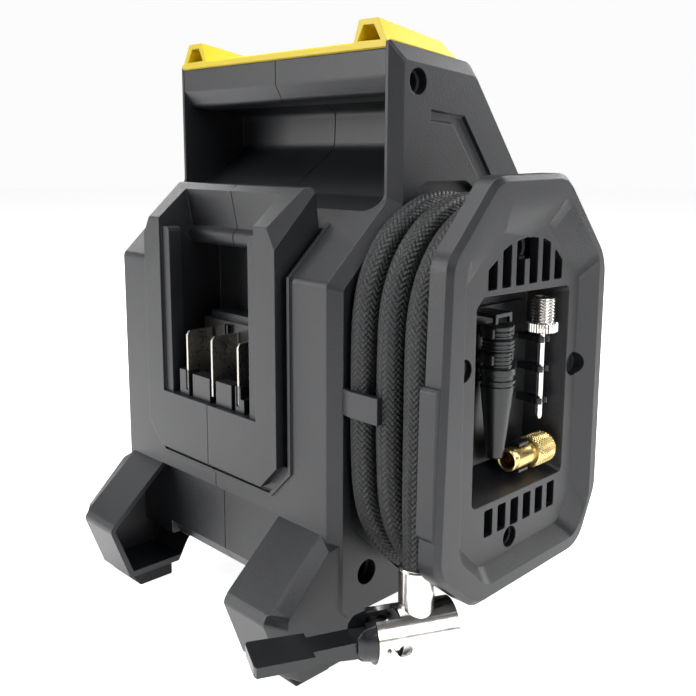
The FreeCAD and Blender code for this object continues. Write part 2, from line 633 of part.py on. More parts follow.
def outlet_elbow():
    y = coil_y + coil_r
    stub = rod((46.0, y, 74), (58.0, y, 74), 3.1)
    collar = rod((seat_x + 0.05, y, 74), (57.4, y, 74), 3.9)
    up = rod((strand_x[0], y, 74), (strand_x[0], y, 85.9), 4.0)
    knee = Part.makeSphere(4.15, V(strand_x[0], y, 74))
    over = rod((57, y, 74), (strand_x[0], y, 74), 4.0)
    return join([stub, collar, up, knee, over]).cut(rod((45, y, 74), (strand_x[0], y, 74), 1.5))


# ---- pump ----
def motor_can():
    y0, y1 = motor_y
    can = ring((0, y0, motor_z), (0, y1, motor_z), motor_r, motor_r - 1.2)
    ends = [ring((0, y, motor_z), (0, y + 1.5, motor_z), motor_r - 1.2, 3.2) for y in (y0, y1 - 1.5)]
    return join([can] + ends)


def motor_rotor():
    y0, y1 = motor_y
    shaft = rod((0, y0 - 4.5, motor_z), (0, 37.6, motor_z), 1.5)
    core = rod((0, y0 + 6, motor_z), (0, y1 - 8, motor_z), 11.0)
    poles = [box((-1.2, 1.2), (y0 + 5, y1 - 7), (motor_z + 5, motor_z + 12.2)) for _ in range(5)]
    for i, pole in enumerate(poles):
        pole.rotate(V(0, 0, motor_z), V(0, 1, 0), 72 * i)
    commutator = rod((0, y0 + 1.8, motor_z), (0, y0 + 5, motor_z), 5.0)
    return join([shaft, core, commutator]).cut(poles)


def gear(y, z, teeth, width, bore, phase=0.0):
    """Spur gear about +Y with straight-flanked teeth."""
    pitch_r = gear_module * teeth / 2
    tip, root = pitch_r + 0.9 * gear_module, pitch_r - 1.15 * gear_module
    step = 2 * math.pi / teeth
    points = []
    for i in range(teeth):
        middle = i * step + phase
        for r, off in ((root, -0.29), (tip, -0.09), (tip, 0.09), (root, 0.29)):
            points.append((r * math.sin(middle + off * step), z + r * math.cos(middle + off * step)))
    wheel = prism(points, "y", y, y + width)
    return wheel.cut(rod((0, y - 1, z), (0, y + width + 1, z), bore))


def motor_pinion():
    return gear(32.0, motor_z, pinion_teeth, 4.6, 1.5, math.pi / pinion_teeth)


def cooling_fan():
    y = motor_y[0] - 3.4
    hub = ring((0, y, motor_z), (0, y + 2.6, motor_z), 4.5, 1.5)
    blades = []
    for i in range(7):
        blade = box((-0.6, 0.6), (y, y + 2.6), (motor_z + 4, motor_z + 15))
        blade.rotate(V(0, y, motor_z), V(0, 1, 0), 360 / 7 * i)
        blades.append(blade)
    return join([hub] + blades)


def gearbox_plate():
    shape = [(-19, 18.9), (19, 18.9), (19, 78.5), (-19, 78.5)]
    plate = prism(shape, "y", motor_y[1] + 0.1, motor_y[1] + 2.9, 4.0)
    shelf = box((-19, 19), (motor_y[1] + 0.1, 29.5), (76, 79.7))
    openings = [rod((0, 20, motor_z), (0, 40, motor_z), 5.0), rod((0, 20, crank_z), (0, 40, crank_z), 2.55)]
    return join([plate, shelf]).cut(openings)


def crank_gear():
    wheel = gear(32.4, crank_z, gear_teeth, 3.8, 2.5)
    shaft = rod((0, 28.5, crank_z), (0, 36.2, crank_z), 2.5)
    pin = rod((0, 36.0, crank_z + crank_throw), (0, 43.6, crank_z + crank_throw), 2.0)
    half = prism([(-11, crank_z - 3), (11, crank_z - 3), (8, crank_z - 12), (-8, crank_z - 12)], "y", 36.2, 37.6, 2.0)
    return join([wheel, shaft, pin, half])


def connecting_rod():
    low, high = crank_z + crank_throw, crank_z + crank_throw + rod_length
    y0, y1 = rod_y - 2.3, rod_y + 2.3
    solid = join([rod((0, y0, low), (0, y1, low), 4.4), rod((0, y0, high), (0, y1, high), 3.8),
                  prism([(-3, low), (3, low), (2.4, high), (-2.4, high)], "y", y0 + 0.8, y1 - 0.8)])
    return solid.cut([rod((0, 30, low), (0, 50, low), 2.05), rod((0, 30, high), (0, 50, high), 1.5)])


def wrist_pin():
    high = crank_z + crank_throw + rod_length
    return rod((0, rod_y - 6, high), (0, rod_y + 6, high), 1.5)


piston_top_z = 115.0


def piston():
    outer = rod((0, rod_y, piston_top_z - 22), (0, rod_y, piston_top_z), bore_r - 0.4)
    inner = rod((0, rod_y, piston_top_z - 23), (0, rod_y, piston_top_z - 2.4), 10.7)
    groove = ring((0, rod_y, piston_top_z - 6), (0, rod_y, piston_top_z - 3.6), bore_r, bore_r - 1.2)
    return outer.cut([inner, groove])


def piston_ring():
    return ring((0, rod_y, piston_top_z - 5.95), (0, rod_y, piston_top_z - 3.65), bore_r - 0.06, bore_r - 1.15)


def cylinder():
    sleeve = ring((0, rod_y, 80), (0, rod_y, 116.4), bore_r + 1.8, bore_r)
    fins = [ring((0, rod_y, z), (0, rod_y, z + 1.4), bore_r + 3.0, bore_r + 1.0) for z in range(84, 115, 4)]
    foot = box((-17, 17), (25.0, 30), (79.9, 82.4)).cut(rod((0, rod_y, 70), (0, rod_y, 120), bore_r + 1))
    return join([sleeve, foot] + fins)


def cylinder_head():
    cap = rod((0, rod_y, 116.5), (0, rod_y, 123.0), bore_r + 2.0)
    nozzle = rod((8, rod_y, 119.8), (19.0, rod_y, 119.8), 3.0)
    return join([cap, nozzle]).cut([rod((0, rod_y, 116), (0, rod_y, 118.2), 8.0), rod((5, rod_y, 119.8), (20, rod_y, 119.8), 1.4)])


def air_tube():
    return arc_tube([(19.05, rod_y, 119.8), (33.0, rod_y, 119.8), (33.0, 36.9, 74.0), (45.95, 36.9, 74.0)], 2.6)


def main_board():
    board = box((-26, 26), (-9.4, -7.8), (76, 126))
    chips = [box(x, (-7.8, -5.4), z) for x, z in
             (((-20, -8), (88, 98)), ((2, 16), (84, 96)), ((-6, 4), (104, 112)), ((12, 20), (106, 114)))]
    caps = [rod((x, -7.8, 118), (x, 0.5, 118), 4.0) for x in (-14, 4)]
    return join([board] + chips + caps)


# ---- control panel ----
button_spots = {"power_button": (-28.0, 13.6, 5.6), "minus_button": (-9.5, 13.6, 4.4),
                "plus_button": (6.5, 13.6, 4.4), "mode_button": (26.0, 13.6, 5.0)}


def control_panel():
    plate = prism([(-panel_x, -25), (panel_x, -25), (panel_x, 25), (-panel_x, 25)], "z", -2.1, 0.2, 3.0)
    window = Part.makeBox(62, 26, 6, V(-31, -20.5, -4))
    holes = [rod((x, y, -5), (x, y, 3), r + 0.35) for x, y, r in button_spots.values()]
    skirt = prism([(-38, -21), (38, -21), (38, 21), (-38, 21)], "z", -4.6, -2.1, 3.0)
    hollow = prism([(-36, -20.8), (36, -20.8), (36, 20.8), (-36, 20.8)], "z", -6, -2.1, 3.0)
    return on_panel(plate.fuse(skirt.cut(hollow)).cut([window] + holes))


def display_lens():
    return on_panel(Part.makeBox(61.6, 25.6, 1.6, V(-30.8, -20.3, -1.5)))


def display_module():
    return on_panel(Part.makeBox(58, 22.6, 2.6, V(-29, -19.0, -4.4)))


def panel_board():
    board = Part.makeBox(70, 40, 1.4, V(-35, -20, -7.2))
    switches = [rod((x, y, -5.9), (x, y, -4.6), 1.9) for x, y, _ in button_spots.values()]
    return on_panel(join([board] + switches))


def panel_button(name):
    x, y, r = button_spots[name]
    cap = rod((x, y, -3.1), (x, y, 1.3), r).fuse(cone((x, y, 1.3), (x, y, 1.8), r, r - 0.7))
    flange = rod((x, y, -3.4), (x, y, -2.5), r + 1.1)
    return on_panel(cap.fuse(flange))


def work_light():
    lens = rod((0, front_y - 5.4, 92), (0, front_y + 0.4, 92), 10.0)
    return lens.cut(rod((0, front_y - 6, 92), (0, front_y - 1.4, 92), 7.6))


def light_board():
    board = rod((0, front_y - 7.4, 92), (0, front_y - 5.5, 92), 9.4)
    led = box((-1.8, 1.8), (front_y - 5.5, front_y - 4.4), (90.2, 93.8))
    return board.fuse(led)


# ---- fasteners ----
def pan_screw(tip, head, shank_r, head_r, head_h):
    """Screw along X whose head's outer face is at head."""
    tip, head = V(*tip), V(*head)
    way = (head - tip).normalize()
    neck = head - way * head_h
    shank = Part.makeCylinder(shank_r, (neck - tip).Length, tip, way)
    cap = Part.makeCylinder(head_r, head_h, neck, way)
    drive = join([Part.makeBox(1.0, 3.2, 0.6, head + V(-0.9, -1.6, -0.3)),
                  Part.makeBox(1.0, 0.6, 3.2, head + V(-0.9, -0.3, -1.6))])
    return join([shank, cap]).cut(drive)


def housing_screws():
    return Part.makeCompound([pan_screw((-12, y, z), (side_x - 8.6, y, z), 1.45, 2.9, 2.2) for y, z in screw_points])


def reel_screws():
    return Part.makeCompound([pan_screw((46, y, z), (74.0, y, z), 1.3, 2.4, 2.0) for y, z in reel_screw_points])


# ---- output ----
def main():
    left, right = housing()
    nodes = {
        "housing_left": left,
        "housing_right": right,
        "top_cover": top_cover(),
        "terminal_block": terminal_block(),
        "terminal_blades": terminal_blades(),
        "rubber_feet": rubber_feet(),
        "hose_reel": hose_reel(),
        "accessory_tray": accessory_tray(),
        "ball_needle": ball_needle(),
        "presta_adapter": presta_adapter(),
        "tapered_nozzle": tapered_nozzle(),
        "hose_coil": hose_coil(),
        "hose_tail": arc_tube(hose_route, hose_r),
        "hose_ferrule": hose_ferrule(),
        "chuck_barrel": chuck_barrel(),
        "chuck_cap": chuck_cap(),
        "chuck_pin": chuck_pin(),
        "chuck_lever": chuck_lever(),
        "chuck_plunger": chuck_plunger(),
        "chuck_seal": chuck_seal(),
        "outlet_elbow": outlet_elbow(),
        "motor_can": motor_can(),
        "motor_rotor": motor_rotor(),
        "motor_pinion": motor_pinion(),
        "cooling_fan": cooling_fan(),
        "gearbox_plate": gearbox_plate(),
        "crank_gear": crank_gear(),
        "connecting_rod": connecting_rod(),
        "wrist_pin": wrist_pin(),
        "piston": piston(),
        "piston_ring": piston_ring(),
        "cylinder": cylinder(),
        "cylinder_head": cylinder_head(),
        "air_tube": air_tube(),
        "main_board": main_board(),
        "control_panel": control_panel(),
        "display_lens": display_lens(),
        "display_module": display_module(),
        "panel_board": panel_board(),
        "work_light": work_light(),
        "light_board": light_board(),
        "housing_screws": housing_screws(),
        "reel_screws": reel_screws(),
    }
    for name in button_spots:
        nodes[name] = panel_button(name)
    os.makedirs("parts", exist_ok=True)
    for name, shape in nodes.items():
        shape.translate(-origin)
        shape.exportStep("parts/" + name + ".step")
        print(name, "valid", shape.isValid(), "solids", len(shape.Solids), "volume", round(shape.Volume))


main()
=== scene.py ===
import json
import math

import bmesh
import bpy
import numpy as np
from mathutils import Matrix, Vector


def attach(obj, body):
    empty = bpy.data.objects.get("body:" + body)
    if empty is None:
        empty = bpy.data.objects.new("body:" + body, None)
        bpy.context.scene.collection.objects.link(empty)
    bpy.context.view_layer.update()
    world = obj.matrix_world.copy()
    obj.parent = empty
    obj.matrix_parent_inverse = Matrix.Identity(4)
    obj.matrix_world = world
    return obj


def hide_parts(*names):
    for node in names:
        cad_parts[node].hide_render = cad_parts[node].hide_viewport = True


# Looks of a cordless tyre inflator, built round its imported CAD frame. Places on the part are in
# millimetres from the housing's own datum, and at() turns them into metres in the frame. The lights,
# the studio and the materials are in metres.

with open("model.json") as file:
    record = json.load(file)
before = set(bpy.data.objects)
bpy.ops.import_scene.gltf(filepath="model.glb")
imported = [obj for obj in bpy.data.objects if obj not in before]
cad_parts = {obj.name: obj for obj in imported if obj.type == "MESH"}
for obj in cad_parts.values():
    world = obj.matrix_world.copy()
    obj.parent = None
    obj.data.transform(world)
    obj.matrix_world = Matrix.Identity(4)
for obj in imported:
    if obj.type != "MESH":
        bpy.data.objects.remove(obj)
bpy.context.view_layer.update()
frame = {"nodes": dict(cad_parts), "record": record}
nodes = frame["nodes"]
print("frame loaded,", len(nodes), "nodes")

datum = Vector((18.35, 8.85, 0.0))


def at(x, y, z):
    return (Vector((x, y, z)) - datum) / 1000


def facing(way):
    return Vector(way).to_track_quat("Z", "Y").to_matrix().to_4x4()


view = {"place": (230.33, -201.78, 155.65), "azimuth": 45.86, "elevation": 9.53, "roll": 0.15,
        "lens": 45.2, "shiftX": 0.0115, "shiftY": -0.069}


def addCamera(v):
    a, e, r = (math.radians(v[k]) for k in ("azimuth", "elevation", "roll"))
    back = Vector((math.sin(a) * math.cos(e), -math.cos(a) * math.cos(e), math.sin(e)))
    right = Vector((math.cos(a), math.sin(a), 0))
    up = back.cross(right)
    right, up = right * math.cos(r) + up * math.sin(r), up * math.cos(r) - right * math.sin(r)
    cam = bpy.data.objects.new("camera", bpy.data.cameras.new("camera"))
    cam.data.lens = v["lens"]
    cam.data.sensor_width = 36
    cam.data.shift_x, cam.data.shift_y = v["shiftX"], v["shiftY"]
    cam.data.clip_start = 0.01
    turn = Matrix((right, up, back)).transposed().to_4x4()
    cam.matrix_world = Matrix.Translation(at(*v["place"])) @ turn
    bpy.context.collection.objects.link(cam)
    bpy.context.scene.camera = cam


lights = {"overhead": {"place": (-0.1, -0.15, 0.95), "aim": (0, 0, 0.1), "size": 0.8, "power": 10},
          "leftBox": {"place": (-0.55, -0.85, 0.4), "aim": (0, 0, 0.1), "size": 0.6, "power": 7},
          "rightBox": {"place": (0.95, -0.1, 0.45), "aim": (0.05, 0, 0.1), "size": 0.5, "power": 6},
          "backBox": {"place": (0.2, 0.95, 0.5), "aim": (0, 0, 0.12), "size": 0.6, "power": 7},
          "farBox": {"place": (-0.95, 0.2, 0.45), "aim": (0, 0, 0.12), "size": 0.5, "power": 5}}
worldStrength = 0.14


def addLights(boxes):
    for name, b in boxes.items():
        data = bpy.data.lights.new(name, "AREA")
        data.shape = "SQUARE"
        data.size, data.energy = b["size"], b["power"]
        lamp = bpy.data.objects.new(name, data)
        away = Vector(b["place"]) - Vector(b["aim"])
        lamp.matrix_world = Matrix.Translation(b["place"]) @ facing(away)
        bpy.context.collection.objects.link(lamp)
    sky = bpy.data.worlds.new("studio")
    sky.use_nodes = True
    sky.node_tree.nodes["Background"].inputs["Color"].default_value = (1, 1, 1, 1)
    sky.node_tree.nodes["Background"].inputs["Strength"].default_value = worldStrength
    bpy.context.scene.world = sky
    bpy.context.scene.view_settings.view_transform = "Standard"


class Value:
    def __init__(self, tree, socket):
        self.tree, self.socket = tree, socket

    def combine(self, operation, other, swapped=False):
        node = self.tree.nodes.new("ShaderNodeMath")
        node.operation = operation
        for slot, side in zip((1, 0) if swapped else (0, 1), (self, other)):
            if isinstance(side, Value):
                self.tree.links.new(side.socket, node.inputs[slot])
            else:
                node.inputs[slot].default_value = side
        return Value(self.tree, node.outputs[0])

    def __add__(self, other):
        return self.combine("ADD", other)

    def __sub__(self, other):
        return self.combine("SUBTRACT", other)

    def __rsub__(self, other):
        return self.combine("SUBTRACT", other, True)

    def __mul__(self, other):
        return self.combine("MULTIPLY", other)

    def __truediv__(self, other):
        return self.combine("DIVIDE", other)

    def __mod__(self, other):
        return self.combine("FLOORED_MODULO", other)

    def __pow__(self, other):
        return self.combine("POWER", other)


class Finish:
    def __init__(self, name, constants):
        self.material = bpy.data.materials.new(name)
        self.material.use_nodes = True
        self.tree = self.material.node_tree
        self.shader = self.tree.nodes["Principled BSDF"]
        for socket, value in constants.items():
            self.shader.inputs[socket].default_value = value

    def node(self, kind, settings=None, sockets=None, output=0):
        made = self.tree.nodes.new("ShaderNode" + kind)
        for key, value in (settings or {}).items():
            setattr(made, key, value)
        for key, value in (sockets or {}).items():
            if isinstance(value, Value):
                self.tree.links.new(value.socket, made.inputs[key])
            else:
                made.inputs[key].default_value = value
        return Value(self.tree, made.outputs[output])

    def place(self):
        return self.node("TexCoord", output="Object")

    def noise(self, scale, detail, rough=0.5):
        return self.node("TexNoise", None, {"Vector": self.place(), "Scale": scale, "Detail": detail,
                                            "Roughness": rough})

    def blendColour(self, factor, low, high):
        return self.node("Mix", {"data_type": "RGBA"}, {0: factor, 6: (*low, 1), 7: (*high, 1)}, output=2)

    def feed(self, socket, value):
        self.tree.links.new(value.socket, self.shader.inputs[socket])

    def bump(self, height, distance, strength=1.0, soften=0.0):
        sockets = {"Height": height, "Distance": distance, "Strength": strength}
        if soften:
            sockets["Normal"] = self.node("Bevel", {"samples": 4}, {"Radius": soften})
        self.feed("Normal", self.node("Bump", None, sockets))


def mouldedPlastic(name, low, high, rough, grain, depth, soften=0.0):
    f = Finish(name, {"Specular IOR Level": 0.5, "IOR": 1.5})
    cloud = f.noise(38, 3)
    speck = f.noise(1 / grain, 2, 0.65)
    fine = f.noise(2.6 / grain, 1)
    f.feed("Base Color", f.blendColour(cloud * 0.7 + speck * 0.3, low, high))
    f.feed("Roughness", cloud * 0.10 + speck * 0.14 + (rough - 0.12))
    f.bump(speck * 0.75 + fine * 0.25, depth, 1.0, soften)
    return f.material


def plainMetal(name, low, high, rough, streak, depth, metallic=1.0):
    f = Finish(name, {"Metallic": metallic})
    cloud = f.noise(160, 4, 0.6)
    fine = f.noise(streak, 2, 0.6)
    f.feed("Base Color", f.blendColour(cloud, low, high))
    f.feed("Roughness", fine * 0.16 + cloud * 0.10 + (rough - 0.1))
    f.bump(fine, depth)
    return f.material


def softRubber(name, low, high, rough):
    f = Finish(name, {"Specular IOR Level": 0.35})
    bloom = f.noise(90, 4, 0.6)
    pores = f.noise(2200, 2)
    f.feed("Base Color", f.blendColour(bloom, low, high))
    f.feed("Roughness", bloom * 0.16 + (rough - 0.08))
    f.bump(pores, 0.00004)
    return f.material


def braidCloth():
    f = Finish("braidCloth", {"Specular IOR Level": 0.5})
    hoseMap = f.node("UVMap", {"uv_map": "hoseMap"})
    split = f.tree.nodes.new("ShaderNodeSeparateXYZ")
    f.tree.links.new(hoseMap.socket, split.inputs[0])
    around, along = Value(f.tree, split.outputs[0]), Value(f.tree, split.outputs[1])
    a, b = around + along, around - along + 400
    acrossA, acrossB = a % 1, b % 1
    pair = (((a - acrossA) + (b - acrossB)) % 4) / 2
    parity = 1 - (pair - pair % 1)
    crownA = 1 - (acrossA * 2 - 1) ** 2
    crownB = 1 - (acrossB * 2 - 1) ** 2
    overA = crownA * (crownB * 0.35 + 0.65)
    overB = crownB * (crownA * 0.35 + 0.65)
    height = parity * overA + (1 - parity) * overB
    strandA = (acrossA * 4) % 1
    strandB = (acrossB * 4) % 1
    strand = parity * (strandA * (1 - strandA)) + (1 - parity) * (strandB * (1 - strandB))
    fuzz = f.noise(5200, 2, 0.7)
    # the braid colour is lighter on each yarn's crown and along the middle of its filaments, and darker in
    # the crevices between yarns: painted highlight and painted shade. The fuzz adds random yarn tone.
    paintedWeaveLight = height * 0.5 + strand * 0.9 + fuzz * 0.1 - 0.15
    f.feed("Base Color", f.blendColour(paintedWeaveLight, (0.001, 0.001, 0.0014), (0.028, 0.03, 0.034)))
    f.feed("Roughness", 0.52 - height * 0.2 + fuzz * 0.1)
    f.bump(height + strand * 0.9 + fuzz * 0.12, 0.0003)
    return f.material


def boardLaminate():
    f = Finish("boardLaminate", {"Specular IOR Level": 0.5})
    cloud = f.noise(60, 3)
    tracks = f.node("TexBrick", {"offset": 0.37}, {"Vector": f.place(), "Scale": 420.0, "Mortar Size": 0.03},
                    output=1)
    f.feed("Base Color", f.blendColour(tracks * 0.5 + cloud * 0.3, (0.012, 0.10, 0.045), (0.05, 0.26, 0.12)))
    f.feed("Roughness", cloud * 0.15 + 0.3)
    f.bump(tracks, 0.00004)
    return f.material


def clearWindow(name, tint, alpha, rough):
    f = Finish(name, {"Alpha": alpha, "IOR": 1.49})
    cloud = f.noise(240, 3)
    f.feed("Base Color", f.blendColour(cloud, tint, tuple(min(1, c * 1.25) for c in tint)))
    f.feed("Roughness", cloud * 0.06 + rough)
    return f.material


finishes = {
    "black_plastic": mouldedPlastic("shellPlastic", (0.0045, 0.0050, 0.0066), (0.0090, 0.0098, 0.0125),
                                    0.40, 0.00050, 0.00010, 0.0004),
    "yellow_plastic": mouldedPlastic("coverPlastic", (0.76, 0.56, 0.0), (0.82, 0.63, 0.003),
                                     0.40, 0.0006, 0.00002, 0.0003),
    "dark_plastic": mouldedPlastic("fittingPlastic", (0.0035, 0.004, 0.005), (0.008, 0.009, 0.0105),
                                   0.33, 0.0009, 0.00003, 0.00025),
    "foot_rubber": softRubber("footRubber", (0.008, 0.008, 0.008), (0.02, 0.02, 0.02), 0.7),
    "seal_rubber": softRubber("sealRubber", (0.01, 0.01, 0.01), (0.022, 0.021, 0.02), 0.55),
    "tinned_contact": plainMetal("tinnedContact", (0.34, 0.32, 0.29), (0.50, 0.48, 0.44),
                                 0.26, 900, 0.00001),
    "nickel_plate": plainMetal("nickelPlate", (0.60, 0.575, 0.54), (0.78, 0.76, 0.73),
                               0.16, 700, 0.000004),
    "brass": plainMetal("brightBrass", (0.50, 0.37, 0.13), (0.72, 0.58, 0.27), 0.26, 900, 0.000008),
    "bright_steel": plainMetal("brightSteel", (0.45, 0.46, 0.48), (0.62, 0.63, 0.65),
                               0.36, 1200, 0.00001),
    "motor_iron": plainMetal("motorIron", (0.16, 0.09, 0.05), (0.30, 0.20, 0.13),
                             0.45, 1500, 0.00002, 0.7),
    "cast_aluminium": plainMetal("castAluminium", (0.55, 0.56, 0.58), (0.70, 0.71, 0.73),
                                 0.5, 1800, 0.00004),
    "screw_steel": plainMetal("screwSteel", (0.10, 0.10, 0.11), (0.20, 0.20, 0.21), 0.38, 1500, 0.00001),
    "grey_plastic": mouldedPlastic("greyPlastic", (0.12, 0.125, 0.13), (0.18, 0.185, 0.19),
                                   0.5, 0.0008, 0.00003),
    "tube_rubber": softRubber("tubeRubber", (0.012, 0.012, 0.014), (0.03, 0.03, 0.033), 0.5),
    "circuit_board": boardLaminate(),
    "clear_window": clearWindow("clearWindow", (0.10, 0.11, 0.12), 0.42, 0.06),
    "light_window": clearWindow("lightWindow", (0.75, 0.78, 0.80), 0.6, 0.22),
    "display_glass": mouldedPlastic("displayGlass", (0.10, 0.13, 0.11), (0.13, 0.16, 0.14),
                                    0.3, 0.0012, 0.00001),
    "button_rubber": softRubber("buttonRubber", (0.028, 0.029, 0.031), (0.05, 0.051, 0.054), 0.52),
    "power_rubber": softRubber("powerRubber", (0.70, 0.60, 0.0), (0.82, 0.74, 0.01), 0.5),
    "braided_hose": braidCloth(),
}
print("finishes ready")


def newPiece(name, mesh, body, slot, angle, finish=None):
    piece = bpy.data.objects.new(name, mesh)
    bpy.context.collection.objects.link(piece)
    mesh.materials.clear()
    mesh.materials.append(finish or finishes[slot])
    if angle is not None:
        mesh.shade_smooth()
        mesh.set_sharp_from_angle(angle=math.radians(angle))
    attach(piece, body)
    slot in {m["slot"] for m in frame["record"]["materials"]}
    return piece


def fromBmesh(name, bm):
    mesh = bpy.data.meshes.new(name)
    bm.to_mesh(mesh)
    bm.free()
    return mesh


def evaluated(mesh, kind, settings):
    holder = bpy.data.objects.new("holder", mesh)
    bpy.context.collection.objects.link(holder)
    step = holder.modifiers.new("step", kind)
    for key, value in settings.items():
        setattr(step, key, value)
    bpy.context.view_layer.update()
    done = bpy.data.meshes.new_from_object(holder.evaluated_get(bpy.context.evaluated_depsgraph_get()))
    bpy.data.objects.remove(holder)
    return done


mergeDistance = 2e-6
flatAngle, bevelAngle, sharpAngle = math.radians(0.6), math.radians(32), math.radians(40)


# a merged copy of a CAD node with small bevels on its edges, standing for that node
def softened(node, width):
    bm = bmesh.new()
    bm.from_mesh(nodes[node].data)
    bmesh.ops.remove_doubles(bm, verts=bm.verts[:], dist=mergeDistance)
    bmesh.ops.dissolve_limit(bm, angle_limit=flatAngle, verts=bm.verts[:], edges=bm.edges[:])
    mesh = evaluated(fromBmesh(node + "Soft", bm), "BEVEL", {
        "width": width, "segments": 2, "limit_method": "ANGLE", "angle_limit": bevelAngle,
        "use_clamp_overlap": True})
    mesh.shade_smooth()
    mesh.set_sharp_from_angle(angle=sharpAngle)
    mesh = evaluated(mesh, "WEIGHTED_NORMAL", {"weight": 90, "keep_sharp": True})
    piece = newPiece(node + "Shape", mesh, bodyOf[node], slotOf[node], None)
    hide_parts(node)
    return piece


slotOf = {s["node"]: s["material_slot"] for s in frame["record"]["subparts"]}
bodyOf = {n: b for b, members in frame["record"]["behaviour"]["bodies"].items() for n in members}
for name, obj in nodes.items():
    obj.data.materials.clear()
    obj.data.materials.append(finishes[slotOf[name]])


def lathe(name, profile, place, way, steps, body, slot, shape=None):
    bm = bmesh.new()
    verts = [bm.verts.new((r, 0, t)) for r, t in profile]
    edges = [bm.edges.new(pair) for pair in zip(verts, verts[1:])]
    bmesh.ops.spin(bm, geom=verts + edges, cent=(0, 0, 0), axis=(0, 0, 1), angle=2 * math.pi,
                   steps=steps, use_merge=True)
    bmesh.ops.remove_doubles(bm, verts=bm.verts[:], dist=1e-5)
    bmesh.ops.recalc_face_normals(bm, faces=bm.faces[:])
    for v in bm.verts:
        r = math.hypot(v.co.x, v.co.y)
        if shape and r > 1e-4:
            grow = shape(r, math.atan2(v.co.y, v.co.x), v.co.z) / r
            v.co.x *= grow
            v.co.y *= grow
    stand = Matrix.Translation(at(*place)) @ facing(way) @ Matrix.Scale(0.001, 4)
    bmesh.ops.transform(bm, matrix=stand, verts=bm.verts[:])
    return newPiece(name, fromBmesh(name, bm), body, slot, 30)


hose = {"radius": 4.0, "centreY": 4.6, "low": 62.5, "high": 108.2, "turnRadius": 32.3,
        "strands": (61.8, 72.0, 82.1), "perHalfTurn": 9, "exitZ": 86.0,
        "tail": [(82.1, -27.75, 49.0), (82.2, -28.0, 34.4)],
        "yarns": 16, "pitch": 27.0, "height": 0.15, "roundness": 22}


def hosePoints(h):
    points = []
    half, y0 = h["perHalfTurn"], h["centreY"]
    grown = h["turnRadius"] / math.cos(math.pi / half / 2) * 1.004
    for i, x in enumerate(h["strands"]):
        if i == 0:
            points += [(x, y0 + h["turnRadius"], z) for z in (h["exitZ"], 92)] + [(x, y0 + grown, 99)]
        else:
            points += [(x, y0 + grown, z) for z in (74, 86, 98)]
        for k in range(half):
            a = math.pi * (k + 0.5) / half
            points.append((x, y0 + grown * math.cos(a), h["high"] + grown * math.sin(a)))
        if i == len(h["strands"]) - 1:
            points += [(x, y0 - grown, z) for z in (98, 84, 70, 60)]
            break
        points += [(x, y0 - grown, z) for z in (98, 86, 74)]
        for k in range(half):
            a = math.pi * (k + 0.5) / half
            shift = (h["strands"][i + 1] - x) * (k + 0.5) / half
            points.append((x + shift, y0 - grown * math.cos(a), h["low"] - grown * math.sin(a)))
    return points + h["tail"]


def addHose(h):
    curve = bpy.data.curves.new("hoseLine", "CURVE")
    curve.dimensions = "3D"
    curve.twist_mode = "MINIMUM"
    spline = curve.splines.new("NURBS")
    points = hosePoints(h)
    spline.points.add(len(points) - 1)
    for point, place in zip(spline.points, points):
        point.co = (*at(*place), 1)
    spline.order_u = 3
    spline.use_endpoint_u = True
    spline.resolution_u = 22
    line = bpy.data.objects.new("hoseLine", curve)
    bpy.context.collection.objects.link(line)
    bpy.context.view_layer.update()
    bare = bpy.data.meshes.new_from_object(line)
    path = [v.co.copy() for v in bare.vertices]
    curve.bevel_depth = h["radius"] / 1000 - h["height"] / 1000
    curve.bevel_resolution = h["roundness"]
    curve.use_fill_caps = True
    bpy.context.view_layer.update()
    mesh = bpy.data.meshes.new_from_object(line)
    bpy.data.objects.remove(line)
    weaveHose(mesh, len(path), h)
    piece = newPiece("braidedHose", mesh, "base", "braided_hose", 60)
    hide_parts("hose_coil", "hose_tail")
    return piece, path


def weaveHose(mesh, rings, h):
    co = np.zeros(len(mesh.vertices) * 3)
    mesh.vertices.foreach_get("co", co)
    co = co.reshape(-1, 3)
    sides = 2 * (h["roundness"] + 2)
    body = co[:rings * sides].reshape(rings, sides, 3)
    middle = body.mean(axis=1)
    along = np.concatenate([[0], np.cumsum(np.linalg.norm(np.diff(middle, axis=0), axis=1))]) * 1000
    n = h["yarns"]
    around = np.tile(np.arange(sides) / sides * n, (rings, 1))
    run = np.tile((along * n / h["pitch"])[:, None], (1, sides))
    acrossA, acrossB = (around + run) % 1, (around - run) % 1
    parity = (np.floor(around + run) + np.floor(around - run)) % 4 < 2
    crownA, crownB = 1 - (2 * acrossA - 1) ** 2, 1 - (2 * acrossB - 1) ** 2
    height = np.where(parity, crownA * (0.65 + 0.35 * crownB), crownB * (0.65 + 0.35 * crownA))
    way = body - middle[:, None, :]
    way /= np.linalg.norm(way, axis=2, keepdims=True)
    body += way * (2 * height[:, :, None] * h["height"] / 1000)
    mesh.vertices.foreach_set("co", co.ravel())
    corner = np.zeros(len(mesh.loops), np.int64)
    mesh.loops.foreach_get("vertex_index", corner)
    start, total = np.zeros(len(mesh.polygons), np.int64), np.zeros(len(mesh.polygons), np.int64)
    mesh.polygons.foreach_get("loop_start", start)
    mesh.polygons.foreach_get("loop_total", total)
    inside = np.clip(corner, 0, rings * sides - 1)
    u, v = (inside % sides) / sides * n, run.reshape(-1)[inside]
    face = np.repeat(np.arange(len(start)), total)
    widest = np.zeros(len(start))
    np.maximum.at(widest, face, u)
    u = np.where((u < 0.5) & (widest[face] > n / 2), n, u)
    for layer in list(mesh.uv_layers):
        mesh.uv_layers.remove(layer)
    uv = np.stack([u, v], axis=1).astype(np.float32).ravel()
    mesh.uv_layers.new(name="hoseMap").data.foreach_set("uv", uv)
    mesh.update()


addCamera(view)
addLights(lights)
hosePiece, hosePath = addHose(hose)
hoseLength = sum((b - a).length for a, b in zip(hosePath, hosePath[1:]))
print("hose wound, length", round(hoseLength, 4))


